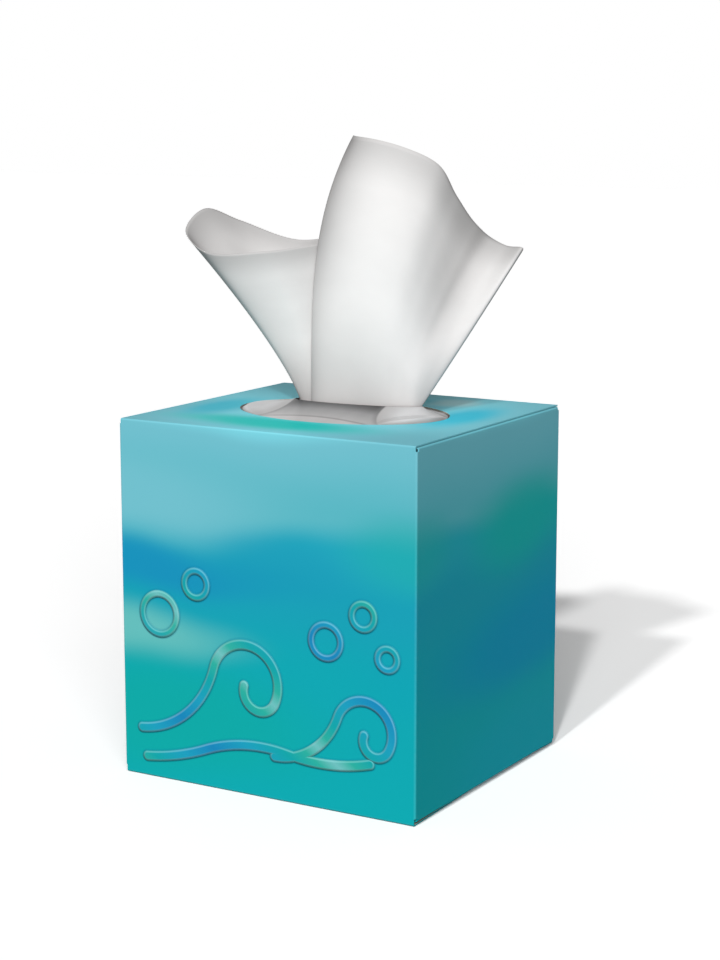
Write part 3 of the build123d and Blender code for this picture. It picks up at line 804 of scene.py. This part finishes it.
curve = add(tree, "Math", {0: axes["X"], 1: axes["X"]}, operation="MULTIPLY")
curve = add(tree, "Math", {0: curve, 1: CREASE_CURVE, 2: CREASE_PLACE},
            operation="MULTIPLY_ADD")
past = add(tree, "Math", {0: from_slit, 1: curve}, operation="SUBTRACT")
band = add(tree, "MapRange", {0: past, 1: 0.0, 2: BAND_BLUR})
colour = add(tree, "Mix", {0: band, 6: colour, 7: linear("#CDC9C9")}, data_type="RGBA")
# a thin line of painted shade along the crease
line = add(tree, "Math", {0: past}, operation="ABSOLUTE")
line = add(tree, "MapRange", {0: line, 1: CREASE_SHADE_SPAN[0], 2: CREASE_SHADE_SPAN[1], 3: 0.0,
                              4: CREASE_SHADE_STRENGTH})
colour = add(tree, "Mix", {0: line, 6: colour, 7: linear("#858282")}, data_type="RGBA")
print("trough and crease are", len(tree.nodes), "nodes")

# %% [markdown]
# Each puff has painted light in its middle and grows greyer towards its outline, which has a
# soft dark rim of painted shade outside. The share of an ellipse is 0 in its middle and 1 on
# its outline, so bands of that share draw all three. Painted shade darkens the film once more
# where it goes under the board, round the oval.

# %% Film: painted light on the puffs, painted shade at the rims, and finish
RIM_STRETCH = (1 / RIM_HALF[0], 1 / RIM_HALF[1], 0.0)
PUFF_RIM_SHADE_SPAN = (1.16, 1.02)
PUFF_RIM_SHADE_STRENGTH = 0.55
PUFF_EDGE_SPAN = (1.03, 0.98)
LIT_CROWN_SPAN = (1.0, 0.3)
OVAL_RIM_SHADE_SPAN = (0.96, 1.0)
OVAL_RIM_SHADE_STRENGTH = 0.7
WRINKLE_SCALE = 0.16
WRINKLE_STRETCH = (1.0, 0.45, 1.0)
CLOUDINESS = (0.86, 0.93)

for centre, half, turn, _ in PUFFS:
    offset = add(tree, "VectorMath", {0: place, 1: (*centre, 0)}, operation="SUBTRACT")
    turned = add(tree, "VectorRotate", {"Vector": offset, "Angle": -math.radians(turn)},
                 rotation_type="Z_AXIS")
    share = add(tree, "VectorMath", {0: turned, 1: (1 / half[0], 1 / half[1], 0)},
                operation="MULTIPLY")
    share = add(tree, "VectorMath", {0: share}, operation="LENGTH")
    # a soft dark rim of painted shade outside each puff
    outside = add(tree, "MapRange", {0: share, 1: PUFF_RIM_SHADE_SPAN[0], 2: PUFF_RIM_SHADE_SPAN[1],
                                     3: 0.0, 4: PUFF_RIM_SHADE_STRENGTH})
    colour = add(tree, "Mix", {0: outside, 6: colour, 7: linear("#7C7B7B")}, data_type="RGBA")
    # painted light in the puff's middle, greyer towards its outline
    painted_puff_light = add(tree, "MapRange", {0: share, 1: LIT_CROWN_SPAN[0], 2: LIT_CROWN_SPAN[1]},
                interpolation_type="SMOOTHSTEP")
    painted_puff_light = add(tree, "Mix", {0: painted_puff_light, 6: linear("#BCBABA"), 7: linear("#DCDCDD")},
                data_type="RGBA")
    puffed = add(tree, "MapRange", {0: share, 1: PUFF_EDGE_SPAN[0], 2: PUFF_EDGE_SPAN[1]})
    colour = add(tree, "Mix", {0: puffed, 6: colour, 7: painted_puff_light}, data_type="RGBA")

# painted shade where the film goes under the board, round the oval
painted_rim_shade = add(tree, "VectorMath", {0: place, 1: RIM_STRETCH}, operation="MULTIPLY")
painted_rim_shade = add(tree, "VectorMath", {0: painted_rim_shade}, operation="LENGTH")
painted_rim_shade = add(tree, "MapRange", {0: painted_rim_shade, 1: OVAL_RIM_SHADE_SPAN[0], 2: OVAL_RIM_SHADE_SPAN[1], 3: 0.0,
                             4: OVAL_RIM_SHADE_STRENGTH}, interpolation_type="SMOOTHSTEP")
colour = add(tree, "Mix", {0: painted_rim_shade, 6: colour, 7: linear("#857E7C")}, data_type="RGBA")

stretched = add(tree, "VectorMath", {0: place, 1: WRINKLE_STRETCH}, operation="MULTIPLY")
wrinkles = add(tree, "TexNoise", {"Vector": stretched, "Scale": WRINKLE_SCALE, "Detail": 3.0})
bumps = add(tree, "Bump", {"Strength": 0.2, "Distance": 0.4 * MM, "Height": wrinkles})
cloudy = add(tree, "MapRange", {0: wrinkles, 1: 0.3, 2: 0.7, 3: CLOUDINESS[0],
                                4: CLOUDINESS[1]})
finish = add(tree, "BsdfPrincipled", {
    "Base Color": colour, "Roughness": 0.34, "IOR": 1.51, "Specular IOR Level": 0.25,
    "Alpha": cloudy, "Normal": bumps,
})
tree.links.new(finish, output.inputs["Surface"])
print("film material ready")

# %% [markdown]
# ## The film as a mesh
#
# `create_circle` makes each ring, its points are moved to their places, and `bridge_loops`
# joins neighbouring rings. The rings are close together inside the oval, where the film is
# shaped, and far apart under the board, where it is flat. One fault is known and left: the
# last four rings lie in one plane, and there `bridge_loops` pairs points across the slit. Its
# faces then close the slit under the lips, out of sight. Extruding each ring from the one
# before it would pair them rightly.

# %% Model the film
FILM_COLUMNS = 240
FILM_SHARES = [i / 40 for i in range(41)] + [1.06, 1.5, 2.0]
FILM_THICKNESS = 0.12 * MM

sketch = bmesh.new()
rings = []
for share in FILM_SHARES:
    made = bmesh.ops.create_circle(sketch, segments=FILM_COLUMNS, radius=1.0)
    for vertex in made["verts"]:
        vertex.co = film_point(math.atan2(vertex.co.y, vertex.co.x), share) * MM
    rings.append({edge for vertex in made["verts"] for edge in vertex.link_edges})
for inner, outer in zip(rings, rings[1:]):
    bmesh.ops.bridge_loops(sketch, edges=list(inner | outer))
bmesh.ops.recalc_face_normals(sketch, faces=sketch.faces)
film = make_piece("film_with_slit", sketch, film_skin, "film", "window_film")
thickness = film.modifiers.new("thickness", "SOLIDIFY")
thickness.thickness = FILM_THICKNESS
thickness.offset = -1.0

# %% [markdown]
# ## The stack of tissues
#
# The folded tissues stand on the floor of the carton in an upside-down U, and little of them
# shows through the film. Their cut ends show the single layers. The real layers are 0.15 mm
# thick, so the stack draws every twelfth of them. A strip of the stack's section is modelled
# at the foot of one leg, with a stepped edge, and is then swept: extruded up, spun over the
# bend, and extruded down again. Where the sweep changes from one to the next, a cut face
# stays inside the stack, out of sight.

# %% Model the stack
STACK_HALF_LENGTH = 52.55
STACK_OUTER = 49.4
STACK_INNER = 3.5
STACK_FOOT = 1.75
BEND_LEVEL = 62.5
LAYERS = 26
LAYER_STEP = 0.45
LAYER_BEAT = 2.4
BEND_STEPS = 36

sketch = bmesh.new()
across = [STACK_INNER + (STACK_OUTER - STACK_INNER) * i / LAYERS for i in range(LAYERS + 1)]
outline = []
for i, (near, far) in enumerate(zip(across, across[1:])):
    step = LAYER_STEP * (0.5 + 0.5 * math.sin(LAYER_BEAT * i)) * (i % 2)
    outline += [(STACK_HALF_LENGTH - step, near), (STACK_HALF_LENGTH - step, far)]
outline += [(-x, y) for x, y in reversed(outline)]
corners = [sketch.verts.new(Vector((x, y, STACK_FOOT)) * MM) for x, y in outline]
foot = sketch.faces.new(corners)
lift = bmesh.ops.extrude_face_region(sketch, geom=[foot])["geom"]
moved = [part for part in lift if isinstance(part, bmesh.types.BMVert)]
bmesh.ops.translate(sketch, verts=moved, vec=(0, 0, (BEND_LEVEL - STACK_FOOT) * MM))
bend = [part for part in lift if isinstance(part, bmesh.types.BMFace)]
spun = bmesh.ops.spin(sketch, geom=bend, cent=(0, 0, BEND_LEVEL * MM), axis=(1, 0, 0),
                      angle=math.pi, steps=BEND_STEPS)
last = [part for part in spun["geom_last"] if isinstance(part, bmesh.types.BMFace)]
drop = bmesh.ops.extrude_face_region(sketch, geom=last)["geom"]
moved = [part for part in drop if isinstance(part, bmesh.types.BMVert)]
bmesh.ops.translate(sketch, verts=moved, vec=(0, 0, (STACK_FOOT - BEND_LEVEL) * MM))
print("stack sketch:", len(sketch.verts), "points")

# %% [markdown]
# Tissue in a stack is the same soft white paper, a little uneven where one layer follows
# another. The swept faces stay flat, so that the cut ends look layered.

# %% Stack material and piece
LAYER_NOISE_SCALE = 350.0

stack_paper, tree, output = new_material("stacked_tissue_paper")
place = add(tree, "TexCoord").node.outputs["Object"]
layers = add(tree, "TexNoise", {"Vector": place, "Scale": LAYER_NOISE_SCALE, "Detail": 4.0})
colour = add(tree, "Mix", {0: layers, 6: linear("#E6E6E3"), 7: linear("#FAFAF8")},
             data_type="RGBA")
bumps = add(tree, "Bump", {"Strength": 0.3, "Distance": 0.2 * MM, "Height": layers})
finish = add(tree, "BsdfPrincipled", {"Base Color": colour, "Roughness": 0.95, "IOR": 1.3,
                                      "Diffuse Roughness": 1.0, "Normal": bumps})
tree.links.new(finish, output.inputs["Surface"])
bmesh.ops.recalc_face_normals(sketch, faces=sketch.faces)
stack = make_piece("folded_tissues", sketch, stack_paper, "tissue", "tissue_stack")
for polygon in stack.data.polygons:
    polygon.use_smooth = False

# %% [markdown]
# ## Glue
#
# The strips of hot-melt glue are between the flaps and can't be seen while the box is whole.
# Hot melt is a waxy resin, a little yellow and half see-through, with a smooth rounded gloss.

# %% Glue material
STREAK_SCALE = 220.0

hot_melt, tree, output = new_material("hot_melt_glue")
place = add(tree, "TexCoord").node.outputs["Object"]
streaks = add(tree, "TexNoise", {"Vector": place, "Scale": STREAK_SCALE, "Detail": 2.0})
colour = add(tree, "Mix", {0: streaks, 6: linear("#D8C48E"), 7: linear("#EFE3BE")},
             data_type="RGBA")
bumps = add(tree, "Bump", {"Strength": 0.4, "Distance": 0.2 * MM, "Height": streaks})
finish = add(tree, "BsdfPrincipled", {"Base Color": colour, "Roughness": 0.35, "IOR": 1.48,
                                      "Normal": bumps})
tree.links.new(finish, output.inputs["Surface"])
print("glue material ready")

# %% [markdown]
# ## Materials on the CAD nodes
#
# The carton and the glue keep their CAD shapes. A new material goes into the material slot of
# each object, and the table lists the record's slot name beside it.

# %% Dress the CAD nodes
DRESS = {
    "carton": (board, "printed_board"),
    "seam_glue": (hot_melt, "glue"),
    "top_glue": (hot_melt, "glue"),
    "bottom_glue": (hot_melt, "glue"),
}
for name, (material, slot) in DRESS.items():
    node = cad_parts[name]
    for holder in node.material_slots:
        holder.material = material
    print(name, "wears", material.name)
